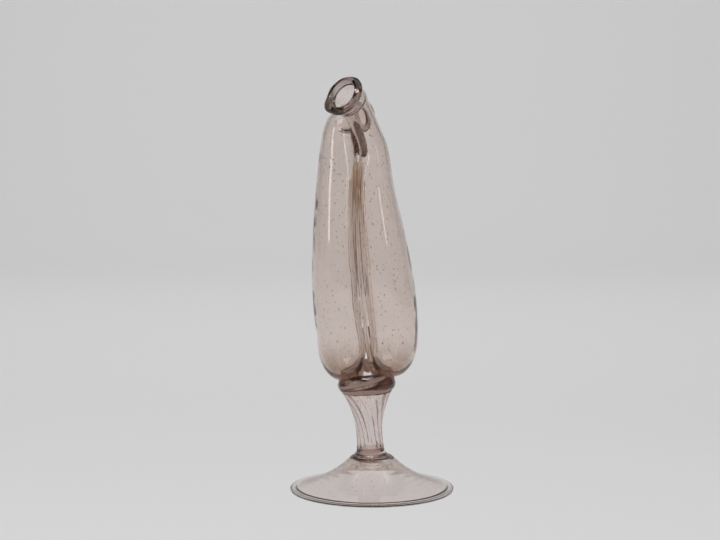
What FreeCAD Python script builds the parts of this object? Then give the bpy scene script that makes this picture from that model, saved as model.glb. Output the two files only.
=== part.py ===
"""Twin-chamber footed cruet in free-blown glass, as a parametric document.

Two gathers of glass were blown side by side and pressed together along a flat
partition.  Their necks cross near the top and open in opposite directions.  The
pair stands on a collar, a hollow waisted stem and a flared foot.

Millimetres, +Z up.  The origin is the centre of the foot on the table, +X is to
the right and the viewer stands on the -Y side.
"""
import FreeCAD, Part
import math
import os
import Sketcher
from FreeCAD import Placement, Rotation, Vector

SECTION_POINTS = 32      # points on the closed curve of one vessel section
CAP_SECTIONS = 5         # sections that round off the bottom of a vessel
CAP_POWER = 0.85         # below 1 makes the bottom of a vessel fuller
BODY_SECTIONS = 8        # sections up the body of a vessel
NECK_SECTIONS = 7        # sections along the bend of a neck
SEAM_SECTIONS = 9        # sections along a seam
SEAM_TIP = 0.45          # size of a seam's ends as a share of its middle
TRIM = 0.6               # how far a blank runs into the piece that trims it
OVERRUN = 3.0            # how far a cavity runs out past the end of its neck
STEP_IN = 0.05           # how far a cavity stays inside the bore at the mouth
ROOM = 600.0             # side of the blocks that part a neck from its vessel

# Driving dimensions.  Lengths are millimetres and angles are degrees.
SIZES = {
    # foot: a flared cone whose edge is folded under
    "foot_radius": 47.0,
    "foot_edge_height": 1.0,
    "fold_width": 3.8,
    "fold_height": 2.0,
    "foot_shoulder_step": 1.5,    # shoulder's radius over the weld's
    "foot_shoulder_height": 18.5,
    "foot_curve": 65.0,
    "foot_wall": 1.7,
    "foot_edge_share": 0.9,       # walls of the foot, as shares of foot_wall
    "foot_shoulder_share": 0.4,
    "foot_crown_share": 1.2,
    "foot_crown_steepness": 0.6,  # slope by the weld over the mean slope
    "fold_undercut": 0.3,
    # solid lens of glass where the stem is welded to the foot
    "weld_offset": -0.5,
    "weld_rise": 3.0,             # top of the weld over the foot's shoulder
    "weld_ledge": 0.525,          # weld's top beyond the stem's base
    "weld_spread": 2.2,           # weld's side beyond its top
    "weld_flare": 2.0,
    "weld_side": 1.8,
    "weld_drop": 7.3,
    "weld_curve": 9.0,
    "pontil_radius": 5.5,
    "pontil_drop": 1.2,
    # hollow stem, leaning a little to the left
    "stem_height": 35.5,
    "stem_waist_height": 9.5,
    "stem_waist_radius": 7.4,
    "stem_curve": 52.0,
    "stem_wall": 1.6,
    "stem_lean": 3.2,
    "stem_offset": -0.8,
    # solid collar between the stem and the two vessels
    "collar_bulge": 1.83,         # how far the collar stands out from the stem's top
    "collar_height": 11.5,
    "collar_round": 5.0,
    # partition between the vessels: a shallow parabola in the XZ plane
    "crease_bottom_height": -1.5,  # over the collar's top
    "crease_top_drop": 3.0,        # below the shoulders
    "crease_top_offset": -8.5,
    "crease_travel": 9.3,
    "partition_gap": 0.18,
    "partition_squareness": 4.0,
    "vessel_wall": 1.5,
    # heights of both vessels over the collar's top
    "low_height": 19.5,
    "belly_height": 41.5,
    "middle_height": 73.5,
    "shoulder_height": 105.5,
    "centre_share": 0.46,
    # left vessel: how deep it sinks into the collar, and widths from the partition
    "left_sink": 5.3,
    "left_low_width": 28.5,
    "left_belly_width": 28.1,
    "left_middle_width": 25.7,
    "left_shoulder_width": 22.8,
    # right vessel
    "right_sink": 3.1,
    "right_low_width": 28.4,
    "right_belly_width": 30.2,
    "right_middle_width": 27.3,
    "right_shoulder_width": 20.7,
    # front to back half depths of both vessels
    "low_depth": 20.0,
    "belly_depth": 21.0,
    "middle_depth": 19.5,
    "shoulder_depth": 14.0,
    # necks: root beside the shoulder's middle and over the shoulders, first pull,
    # mouth centre from the root, the way the mouth faces, last pull
    "neck_straight": 5.0,
    "neck_wall": 1.5,
    "neck_root_depth": 10.5,
    "front_split_lift": 14.0,     # where a neck starts, over the shoulders
    "rear_split_lift": 20.0,
    "lip_round": 1.0,
    "rim_round": 3.2,
    "front_root_shift": -0.11,
    "front_root_y": -3.0,
    "front_root_lift": 16.0,
    "front_root_radius": 8.8,
    "front_rise": 8.0,
    "front_neck_radius": 7.0,
    "front_reach_x": -18.1,
    "front_reach_y": -13.0,
    "front_reach_z": 36.4,
    "front_azimuth": 229.0,
    "front_elevation": 29.0,
    "front_pull": 4.0,
    "front_bore": 8.0,
    "front_rim_width": 4.1,
    "front_rim_height": 4.8,
    "rear_root_shift": 0.8,
    "rear_root_y": 4.0,
    "rear_root_lift": 27.0,
    "rear_root_radius": 9.9,
    "rear_rise": 10.5,
    "rear_neck_radius": 7.0,
    "rear_reach_x": 13.7,
    "rear_reach_y": 18.0,
    "rear_reach_z": 12.0,
    "rear_azimuth": 51.0,
    "rear_elevation": 6.0,
    "rear_pull": 6.0,
    "rear_bore": 6.0,
    "rear_rim_width": 3.8,
    "rear_rim_height": 5.0,
    # trails of glass that fill the grooves and the crossing of the necks
    "seam_half_width": 3.1,
    "seam_half_depth": 2.6,
    "seam_sink": 3.6,
    "seam_bottom_height": 7.5,    # over the collar's top
    "seam_top_rise": 2.0,         # over the shoulders
    "neck_weld_shift": 0.5,       # beside the top of the partition
    "neck_weld_y": 1.0,
    "neck_weld_lift": 26.0,       # over the shoulders
    "neck_weld_half_height": 11.0,
    "neck_weld_half_width": 5.0,
    "neck_weld_half_depth": 8.0,
}

def make_sheet(doc):
    """Write every driving dimension into the spreadsheet under its own name."""
    table = doc.addObject("Spreadsheet::Sheet", "Sizes")
    for row, (name, value) in enumerate(SIZES.items(), start=1):
        table.set(f"A{row}", name)
        table.set(f"B{row}", str(value))
        table.setAlias(f"B{row}", name)
    doc.recompute()
    return table


doc = FreeCAD.newDocument("twin_cruet")
sheet = make_sheet(doc)


def size(name):
    """Read one driving dimension back from the spreadsheet."""
    return float(sheet.get(name))


# Which vessel each neck belongs to, and the side of the partition it lies on.
NECK_HANDS = {"front": ("right", 1), "rear": ("left", -1)}

# The stack of heights: each piece stands on the one below it.
WELD_TOP = "(Sizes.foot_shoulder_height + Sizes.weld_rise)"
COLLAR_TOP = f"({WELD_TOP} + Sizes.stem_height + Sizes.collar_height)"
SHOULDERS = f"({COLLAR_TOP} + Sizes.shoulder_height)"


def value_of(expression):
    """Work out an expression on the sheet's sizes."""
    return float(sheet.evalExpression(expression))


def stem_radius(depth, height):
    """Expression for the radius of a wall of the stem at a height over its base.

    Both walls are arcs about one centre outside the waist, and depth is how far the
    wall lies inside the outer one.
    """
    reach = f"(Sizes.stem_curve + {depth})"
    rise = f"({height} - Sizes.stem_waist_height)"
    centre = "Sizes.stem_waist_radius + Sizes.stem_curve"
    return f"({centre} - sqrt({reach} * {reach} - {rise} * {rise}))"


# The radii under the stem follow the stem's base.
WELD_TOP_RADIUS = f"({stem_radius('0', '0')} + Sizes.weld_ledge)"
WELD_RADIUS = f"({WELD_TOP_RADIUS} + Sizes.weld_spread)"
SHOULDER_RADIUS = f"({WELD_RADIUS} + Sizes.foot_shoulder_step)"


def crease_offset_at(height):
    """Expression for the sideways place of the partition at a height."""
    top = f"({SHOULDERS} - Sizes.crease_top_drop)"
    span = f"({top} - {COLLAR_TOP} - Sizes.crease_bottom_height)"
    share = f"(({top} - {height}) / {span})"
    return f"(Sizes.crease_top_offset + Sizes.crease_travel * {share} * {share})"


# ---------------------------------------------------------------- turned pieces
def origin_plane(body, role):
    """Find one of a body's own origin planes by its role."""
    return next(item for item in body.Origin.OriginFeatures if item.Role == role)


def constrain_point(sketch, edge, end, across, up):
    """Tie one end of an edge to two expressions, or to an axis where one is zero."""
    for kind, expression, axis in (("DistanceX", across, -2), ("DistanceY", up, -1)):
        if expression == "0":
            sketch.addConstraint(Sketcher.Constraint("PointOnObject", edge, end, axis))
            continue
        value = value_of(expression)
        index = sketch.addConstraint(Sketcher.Constraint(kind, -1, 1, edge, end, value))
        sketch.setExpression(f"Constraints[{index}]", expression)


def end_at(sketch, edge, point):
    """Tell which end of an edge lies on a point: 1 is its start and 2 its end."""
    gaps = {end: (sketch.getPoint(edge, end) - point).Length for end in (1, 2)}
    return min(gaps, key=gaps.get)


def arc_middle(first, last, radius, side):
    """Middle of the arc of a given radius, bulging to the left (side 1) or right (-1)."""
    chord = last - first
    rise = radius - math.sqrt(radius ** 2 - (chord.Length / 2) ** 2)
    normal = Vector(-chord.y, chord.x, 0).normalize()
    return (first + last) * 0.5 + normal * rise * side


def turned_body(label, corners):
    """Revolve a closed outline about Z.

    Each corner is (radius, height, bend), all expressions.  The bend belongs to the
    edge that leaves the corner: None for a straight edge, or (radius, side).
    """
    body = doc.addObject("PartDesign::Body", label)
    sketch = body.newObject("Sketcher::SketchObject", f"{label}_outline")
    sketch.AttachmentSupport = [(origin_plane(body, "XZ_Plane"), "")]
    sketch.MapMode = "FlatFace"
    points = [Vector(value_of(across), value_of(up), 0) for across, up, _ in corners]
    for index, (across, up, bend) in enumerate(corners):
        first = points[index]
        last = points[(index + 1) % len(points)]
        if bend is None:
            sketch.addGeometry(Part.LineSegment(first, last), False)
            continue
        middle = arc_middle(first, last, value_of(bend[0]), bend[1])
        sketch.addGeometry(Part.Arc(first, middle, last), False)
    for index, (across, up, bend) in enumerate(corners):
        following = (index + 1) % len(corners)
        here = end_at(sketch, index, points[index])
        there = end_at(sketch, index, points[following])
        after = end_at(sketch, following, points[following])
        constrain_point(sketch, index, here, across, up)
        sketch.addConstraint(
            Sketcher.Constraint("Coincident", index, there, following, after))
        if bend is not None:
            tie = sketch.addConstraint(
                Sketcher.Constraint("Radius", index, value_of(bend[0])))
            sketch.setExpression(f"Constraints[{tie}]", bend[0])
    turn = body.newObject("PartDesign::Revolution", f"{label}_turn")
    turn.Profile = sketch
    turn.ReferenceAxis = (sketch, ["V_Axis"])
    turn.Angle = 360.0
    body.Tip = turn
    return body


def place(item, position, turn=("0", "0")):
    """Bind an item's placement to expressions: a position, then a yaw and a pitch."""
    x, y, z = position
    yaw, pitch = turn
    item.setExpression(
        "Placement",
        f"placement(vector({x}; {y}; {z}); rotation({yaw}; {pitch}; 0))")


def cut(label, base, tools):
    """Cut several tools out of a base, one boolean after another."""
    result = base
    for number, tool in enumerate(tools, start=1):
        last = number == len(tools)
        step = doc.addObject("Part::Cut", label if last else f"{label}_cut_{number}")
        step.Base = result
        step.Tool = tool
        result = step
    return result


def build_stem_weld():
    """Solid lens: a flared top for the stem, a short side and a rounded underside."""
    side_foot = "(Sizes.weld_flare + Sizes.weld_side)"
    weld = turned_body("stem_weld", [
        ("0", "0", None),
        (WELD_TOP_RADIUS, "0", None),
        (WELD_RADIUS, "-Sizes.weld_flare", None),
        (WELD_RADIUS, f"-{side_foot}", ("Sizes.weld_curve", 1)),
        ("Sizes.pontil_radius", "-Sizes.weld_drop", None),
        ("0", "-Sizes.weld_drop", None),
    ])
    place(weld, ("Sizes.weld_offset", "0", WELD_TOP))
    return weld


def build_foot(weld):
    """Flared cone with a folded edge, cut to seat on the side of the weld."""
    inner = f"({WELD_RADIUS} - {TRIM})"
    rim_inner = "Sizes.foot_radius - Sizes.fold_width"
    slope = "(Sizes.foot_shoulder_height - Sizes.fold_height)"
    run = f"({rim_inner} - {SHOULDER_RADIUS})"
    steep = f"({slope} / {run} * Sizes.foot_crown_steepness)"
    lift = f"({steep} * ({SHOULDER_RADIUS} - {inner}))"
    crown = f"Sizes.foot_shoulder_height + {lift}"
    blank = turned_body("foot_blank", [
        (inner, crown, None),
        (SHOULDER_RADIUS, "Sizes.foot_shoulder_height",
         ("Sizes.foot_curve", -1)),
        (rim_inner, "Sizes.fold_height", None),
        ("Sizes.foot_radius", "Sizes.foot_edge_height", None),
        ("Sizes.foot_radius", "Sizes.foot_edge_height / 2", None),
        ("Sizes.foot_radius - Sizes.foot_edge_height / 2", "0", None),
        (f"{rim_inner} + Sizes.fold_undercut", "0", None),
        (f"{rim_inner} - Sizes.foot_wall",
         "Sizes.fold_height - Sizes.foot_edge_share * Sizes.foot_wall",
         ("Sizes.foot_curve + Sizes.foot_wall", 1)),
        (f"{SHOULDER_RADIUS} - Sizes.foot_shoulder_share * Sizes.foot_wall",
         "Sizes.foot_shoulder_height - Sizes.foot_wall", None),
        (inner, f"{crown} - Sizes.foot_crown_share * Sizes.foot_wall", None),
    ])
    return cut("foot", blank, [weld])


def build_pontil_mark():
    """Scar of glass under the lens, where the working rod was snapped off."""
    mark = turned_body("pontil_mark", [
        ("0", "0", None),
        ("Sizes.pontil_radius - Sizes.pontil_drop / 2", "0", None),
        ("Sizes.pontil_radius", "Sizes.pontil_drop / 2", None),
        ("Sizes.pontil_radius", "Sizes.pontil_drop", None),
        ("0", "Sizes.pontil_drop", None),
    ])
    place(mark, ("Sizes.weld_offset", "0",
                 f"{WELD_TOP} - Sizes.weld_drop - Sizes.pontil_drop"))
    return mark


STEM_PLACE = ("Sizes.stem_offset", "0", WELD_TOP)
STEM_TURN = ("0", "-Sizes.stem_lean")


def build_stem(weld):
    """Hollow waisted tube, trimmed level on the weld's flat top."""
    base = f"-{TRIM}"
    stem = turned_body("stem_blank", [
        (stem_radius("0", base), base, ("Sizes.stem_curve", 1)),
        (stem_radius("0", "Sizes.stem_height"), "Sizes.stem_height", None),
        (stem_radius("Sizes.stem_wall", "Sizes.stem_height"), "Sizes.stem_height",
         ("Sizes.stem_curve + Sizes.stem_wall", -1)),
        (stem_radius("Sizes.stem_wall", base), base, None),
    ])
    place(stem, STEM_PLACE, STEM_TURN)
    return cut("stem", stem, [weld])


def build_collar(envelopes):
    """Solid pad on the stem, hollowed by the two vessels that sit in it."""
    middle = "Sizes.stem_height + Sizes.collar_height / 2"
    top = "Sizes.stem_height + Sizes.collar_height"
    seat = stem_radius("0", "Sizes.stem_height")
    radius = f"({seat} + Sizes.collar_bulge)"
    blank = turned_body("collar_blank", [
        ("0", "Sizes.stem_height", None),
        (seat, "Sizes.stem_height", ("Sizes.collar_round", -1)),
        (radius, middle, ("Sizes.collar_round", -1)),
        (f"{radius} - Sizes.collar_height / 3", top, None),
        ("0", top, None),
    ])
    place(blank, STEM_PLACE, STEM_TURN)
    return cut("collar", blank, envelopes)


def root_place(side):
    """Expressions for the root of a neck, over the middle of its vessel's shoulder."""
    hand, sign = NECK_HANDS[side]
    width = f"Sizes.{hand}_shoulder_width"
    middle = (f"{crease_offset_at(SHOULDERS)} + {sign} * "
              f"(Sizes.partition_gap + {width} * Sizes.centre_share)")
    return (f"{middle} + Sizes.{side}_root_shift", f"Sizes.{side}_root_y",
            f"{SHOULDERS} + Sizes.{side}_root_lift")


def mouth_place(side):
    """Expressions for the centre of a mouth."""
    return tuple(f"{start} + Sizes.{side}_reach_{axis}"
                 for start, axis in zip(root_place(side), "xyz"))


def point_of(expressions):
    """Work out a point from three expressions."""
    return Vector(*(value_of(expression) for expression in expressions))


def build_rim(side):
    """Rounded ring around a mouth, seated on the end of its neck."""
    bore = f"Sizes.{side}_bore"
    height = f"Sizes.{side}_rim_height"
    radius = f"({bore} + Sizes.{side}_rim_width)"
    ring = turned_body(f"{side}_rim", [
        (bore, f"-{height}", None),
        (bore, "-Sizes.lip_round", ("Sizes.lip_round", 1)),
        (f"{bore} + Sizes.lip_round", "0", ("Sizes.rim_round", 1)),
        (radius, f"-{height} / 2", ("Sizes.rim_round", 1)),
        (f"{bore} + Sizes.neck_wall", f"-{height}", None),
    ])
    place(ring, mouth_place(side), (f"Sizes.{side}_azimuth", f"90 - Sizes.{side}_elevation"))
    return ring


# -------------------------------------------------------------------- vessels
def crease_offset(height):
    """Sideways place of the partition at a height."""
    return value_of(crease_offset_at(f"({height})"))


def section(centre, normal, outward, outer_reach, inner_reach, half_depth, squareness):
    """Closed curve in the plane across a normal.

    The outer half is an ellipse.  The inner half, which faces the partition, is a
    superellipse whose squareness flattens it against the partition.
    """
    across = outward - normal * outward.dot(normal)
    across.normalize()
    deep = normal.cross(across)
    points = []
    for step in range(SECTION_POINTS):
        angle = 2 * math.pi * step / SECTION_POINTS
        cosine = math.cos(angle)
        sine = math.sin(angle)
        reach = outer_reach if cosine > 0 else inner_reach
        power = 2.0 if cosine > 0 else squareness
        total = abs(cosine / reach) ** power + abs(sine / half_depth) ** power
        radius = total ** (-1 / power)
        points.append(centre + across * (radius * cosine) + deep * (radius * sine))
    curve = Part.BSplineCurve()
    even = [float(step) for step in range(SECTION_POINTS + 1)]
    curve.interpolate(Points=points, Parameters=even, PeriodicFlag=True)
    return Part.Wire(curve.toShape())


def facing(side):
    """Unit vector that points straight out of a mouth."""
    azimuth = math.radians(size(f"{side}_azimuth"))
    elevation = math.radians(size(f"{side}_elevation"))
    level = math.cos(elevation)
    return Vector(
        level * math.cos(azimuth), level * math.sin(azimuth), math.sin(elevation))


def neck_end(side):
    """Centre of the plane where the rim sits on the neck."""
    mouth = point_of(mouth_place(side))
    return mouth - facing(side) * size(f"{side}_rim_height")


def bend(side, share):
    """Point and direction on the Bezier bend of a neck, from its root to its end."""
    root = point_of(root_place(side))
    last = neck_end(side) - facing(side) * size("neck_straight")
    second = root + Vector(0, 0, size(f"{side}_rise"))
    third = last - facing(side) * size(f"{side}_pull")
    rest = 1 - share
    point = (root * rest ** 3 + second * (3 * rest ** 2 * share)
             + third * (3 * rest * share ** 2) + last * share ** 3)
    direction = ((second - root) * rest ** 2 + (third - second) * (2 * rest * share)
                 + (last - third) * share ** 2)
    return point, direction.normalize()


BODY_STOPS = ("low", "belly", "middle", "shoulder")


def through_stops(height, prefix, quantity):
    """Smooth curve through the four named widths or depths, read at a height."""
    foot = value_of(COLLAR_TOP)
    stops = [(foot + size(f"{stop}_height"), size(f"{prefix}{stop}_{quantity}"))
             for stop in BODY_STOPS]
    total = 0.0
    for here, value in stops:
        share = 1.0
        for other, _ in stops:
            if other != here:
                share *= (height - other) / (here - other)
        total += value * share
    return total


def body_sections(hand, sign, inset):
    """Level sections of a vessel's body, from its low height to its shoulder."""
    low = value_of(COLLAR_TOP) + size("low_height")
    rise = size("shoulder_height") - size("low_height")
    wires = []
    for number in range(BODY_SECTIONS):
        height = low + rise * number / (BODY_SECTIONS - 1)
        width = through_stops(height, f"{hand}_", "width")
        depth = through_stops(height, "", "depth")
        inner = width * size("centre_share")
        middle = crease_offset(height) + sign * (size("partition_gap") + inner)
        wires.append(section(
            Vector(middle, 0, height), Vector(0, 0, 1), Vector(sign, 0, 0),
            width - inner - inset, inner - inset, depth - inset,
            size("partition_squareness")))
    return wires


def cap_sections(hand, sign, inset):
    """Level sections that round off the bottom, from the lowest up."""
    low = value_of(COLLAR_TOP) + size("low_height")
    width = size(f"{hand}_low_width")
    inner = width * size("centre_share")
    middle = crease_offset(low) + sign * (size("partition_gap") + inner)
    drop = size("low_height") + size(f"{hand}_sink") - inset
    wires = []
    for number in range(1, CAP_SECTIONS + 1):
        angle = math.pi / 2 * number / (CAP_SECTIONS + 1)
        share = math.sin(angle) ** CAP_POWER
        centre = Vector(middle, 0, low - drop * math.cos(angle))
        wires.append(section(
            centre, Vector(0, 0, 1), Vector(sign, 0, 0), (width - inner - inset) * share,
            (inner - inset) * share, (size("low_depth") - inset) * share,
            size("partition_squareness")))
    return wires


def neck_sections(side, sign, inset, overrun):
    """Sections from the root of a neck to its end, where it widens to the rim."""
    thin = size(f"{side}_neck_radius")
    root = size(f"{side}_root_radius")
    end = size(f"{side}_bore") + size("neck_wall")
    outward = Vector(sign, 0, 0)
    wires = []
    for number in range(NECK_SECTIONS):
        share = number / (NECK_SECTIONS - 1)
        point, direction = bend(side, share)
        flare = (end - thin) * share ** 4
        fade = (1 - share) ** 2
        wide = thin + (root - thin) * fade + flare - inset
        deep = thin + (size("neck_root_depth") - thin) * fade + flare - inset
        wires.append(section(point, direction, outward, wide, wide, deep, 2.0))
    run = size("neck_straight") + overrun
    for step in (run / 2, run):
        centre = bend(side, 1)[0] + facing(side) * step
        wires.append(section(centre, facing(side), outward, end - inset, end - inset,
                             end - inset, 2.0))
    return wires


def vessel_loft(hand, sign, side, inset, overrun):
    """Closed loft of a whole vessel, its walls drawn in by an inset."""
    wires = cap_sections(hand, sign, inset)
    wires += body_sections(hand, sign, inset)
    wires += neck_sections(side, sign, inset, overrun)
    return Part.makeLoft(wires, True, False)


def feature(label, shape):
    """Document object that holds a shape made from the sheet's sizes."""
    item = doc.addObject("Part::Feature", label)
    item.Shape = shape
    item.Placement = Placement(Vector(0, 0, 0), Rotation())
    return item


def room(label, level):
    """Large block whose lower face lies at a height."""
    block = doc.addObject("Part::Box", label)
    for edge in ("Length", "Width", "Height"):
        setattr(block, edge, ROOM)
    place(block, (f"-{ROOM / 2}", f"-{ROOM / 2}", level))
    return block


def build_vessel(side):
    """Thin-walled vessel, its neck, and the solid envelope that both fill."""
    hand, sign = NECK_HANDS[side]
    envelope = feature(f"{hand}_envelope", vessel_loft(hand, sign, side, 0.0, 0.0))
    hollow = vessel_loft(hand, sign, side, size("vessel_wall") + STEP_IN, OVERRUN)
    mouth = Part.makeCylinder(
        size(f"{side}_bore"), size("neck_straight") + OVERRUN,
        neck_end(side) - facing(side) * size("neck_straight"), facing(side))
    cavity = feature(f"{hand}_cavity", hollow.fuse(mouth))
    blown = cut(f"{hand}_blown", envelope, [cavity])
    level = f"{SHOULDERS} + Sizes.{side}_split_lift"
    vessel = cut(f"{hand}_vessel", blown, [room(f"{side}_neck_room", level)])
    neck = cut(f"{side}_neck", blown, [room(f"{side}_body_room", f"{level} - {ROOM}")])
    return vessel, neck, envelope


def build_seam(label, sign, envelopes):
    """Trail of glass laid down the groove between the vessels."""
    bottom = value_of(COLLAR_TOP) + size("seam_bottom_height")
    top = value_of(SHOULDERS) + size("seam_top_rise")
    wires = []
    for number in range(SEAM_SECTIONS):
        share = number / (SEAM_SECTIONS - 1)
        height = bottom + share * (top - bottom)
        taper = SEAM_TIP + (1 - SEAM_TIP) * math.sin(math.pi * share) ** 0.5
        deep = through_stops(height, "", "depth") - size("seam_sink")
        centre = Vector(crease_offset(height), sign * deep, height)
        wires.append(section(
            centre, Vector(0, 0, 1), Vector(1, 0, 0), size("seam_half_width") * taper,
            size("seam_half_width") * taper, size("seam_half_depth") * taper, 2.0))
    trail = feature(f"{label}_blank", Part.makeLoft(wires, True, False))
    return cut(label, trail, envelopes)


def build_neck_weld(envelopes):
    """Lump of glass that joins the two necks where they cross."""
    blank = doc.addObject("Part::Ellipsoid", "neck_weld_blank")
    blank.setExpression("Radius1", "Sizes.neck_weld_half_height")
    blank.setExpression("Radius2", "Sizes.neck_weld_half_width")
    blank.setExpression("Radius3", "Sizes.neck_weld_half_depth")
    place(blank, ("Sizes.crease_top_offset + Sizes.neck_weld_shift",
                  "Sizes.neck_weld_y", f"{SHOULDERS} + Sizes.neck_weld_lift"))
    return cut("neck_weld", blank, envelopes)


def export(nodes):
    """Recompute, check every object and every sub-part, then write the files."""
    doc.recompute()
    failed = [item.Label for item in doc.Objects
              if "Invalid" in item.State or "Error" in item.State]
    if failed:
        raise RuntimeError(f"objects that did not rebuild: {failed}")
    os.makedirs("parts", exist_ok=True)
    for node in nodes:
        shape = node.Shape
        if shape.isNull() or not shape.isValid() or not shape.Solids:
            raise RuntimeError(f"sub-part is not a sound solid: {node.Label}")
    for node in nodes:
        node.Shape.exportStep(f"parts/{node.Label}.step")
        print(f"{node.Label}: {len(node.Shape.Solids)} solid, "
              f"{node.Shape.Volume:.0f} cubic millimetres")


left_vessel, rear_neck, left_envelope = build_vessel("rear")
right_vessel, front_neck, right_envelope = build_vessel("front")
both = [left_envelope, right_envelope]
stem_weld = build_stem_weld()

export([
    left_vessel,
    right_vessel,
    front_neck,
    rear_neck,
    build_rim("front"),
    build_rim("rear"),
    build_seam("front_seam", -1, both),
    build_seam("rear_seam", 1, both),
    build_neck_weld(both),
    build_collar(both),
    build_stem(stem_weld),
    stem_weld,
    build_foot(stem_weld),
    build_pontil_mark(),
])
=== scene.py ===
"""Twin-chamber footed cruet in free-blown glass, dressed for a plain studio.

Every piece is a closed shell or solid of real glass with tinted volume, built from
the maker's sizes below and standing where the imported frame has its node.
"""
from __future__ import annotations

import logging
import math
from collections.abc import Callable, Sequence
from dataclasses import dataclass, field
from enum import Enum

import bpy
import numpy as np
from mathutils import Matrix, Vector, noise

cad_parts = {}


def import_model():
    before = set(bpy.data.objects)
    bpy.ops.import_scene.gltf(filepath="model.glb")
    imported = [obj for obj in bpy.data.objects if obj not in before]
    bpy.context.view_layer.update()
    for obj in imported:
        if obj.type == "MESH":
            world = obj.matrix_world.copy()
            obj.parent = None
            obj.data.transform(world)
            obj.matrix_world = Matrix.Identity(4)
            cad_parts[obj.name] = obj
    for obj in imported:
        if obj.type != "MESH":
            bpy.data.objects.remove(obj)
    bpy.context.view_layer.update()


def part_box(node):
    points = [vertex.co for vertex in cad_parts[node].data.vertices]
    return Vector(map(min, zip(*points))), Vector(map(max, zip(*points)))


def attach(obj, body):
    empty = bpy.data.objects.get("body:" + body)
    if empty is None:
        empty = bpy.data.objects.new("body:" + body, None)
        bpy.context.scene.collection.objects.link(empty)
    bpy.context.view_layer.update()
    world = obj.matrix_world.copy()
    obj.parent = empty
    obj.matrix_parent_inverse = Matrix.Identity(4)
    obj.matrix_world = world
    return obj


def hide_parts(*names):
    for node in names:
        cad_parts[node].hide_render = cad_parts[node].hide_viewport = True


LOG = logging.getLogger("cruet")
MM = 0.001
BODY = "root"


# ------------------------------------------------------------------ shader maths
class Flow:
    """One socket of a node tree, with arithmetic that adds Math nodes."""

    def __init__(self, bench: "Bench", socket: bpy.types.NodeSocket) -> None:
        """Wrap a socket.

        Args:
            bench: the node tree the socket belongs to.
            socket: an output socket that carries a number.
        """
        self.bench = bench
        self.socket = socket

    def _math(self, operation: str, first: object, second: object) -> "Flow":
        """Add one Math node and return its output."""
        return self.bench.node(
            "ShaderNodeMath", {"operation": operation}, {0: first, 1: second})

    def __add__(self, other: object) -> "Flow":
        """Sum."""
        return self._math("ADD", self, other)

    __radd__ = __add__

    def __sub__(self, other: object) -> "Flow":
        """Difference."""
        return self._math("SUBTRACT", self, other)

    def __rsub__(self, other: object) -> "Flow":
        """Difference with the plain number first."""
        return self._math("SUBTRACT", other, self)

    def __mul__(self, other: object) -> "Flow":
        """Product."""
        return self._math("MULTIPLY", self, other)

    __rmul__ = __mul__

    def at_most(self, other: object) -> "Flow":
        """The smaller of the two."""
        return self._math("MINIMUM", self, other)

    def at_least(self, other: object) -> "Flow":
        """The larger of the two."""
        return self._math("MAXIMUM", self, other)

    def ramp(self, low: float, high: float) -> "Flow":
        """Smooth step from 0 at low to 1 at high.

        Args:
            low: the value that gives 0.
            high: the value that gives 1.

        Returns:
            The eased share between the two.
        """
        return self.bench.node(
            "ShaderNodeMapRange", {"interpolation_type": "SMOOTHSTEP"},
            {"Value": self, "From Min": low, "From Max": high, "To Min": 0.0, "To Max": 1.0})


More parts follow.
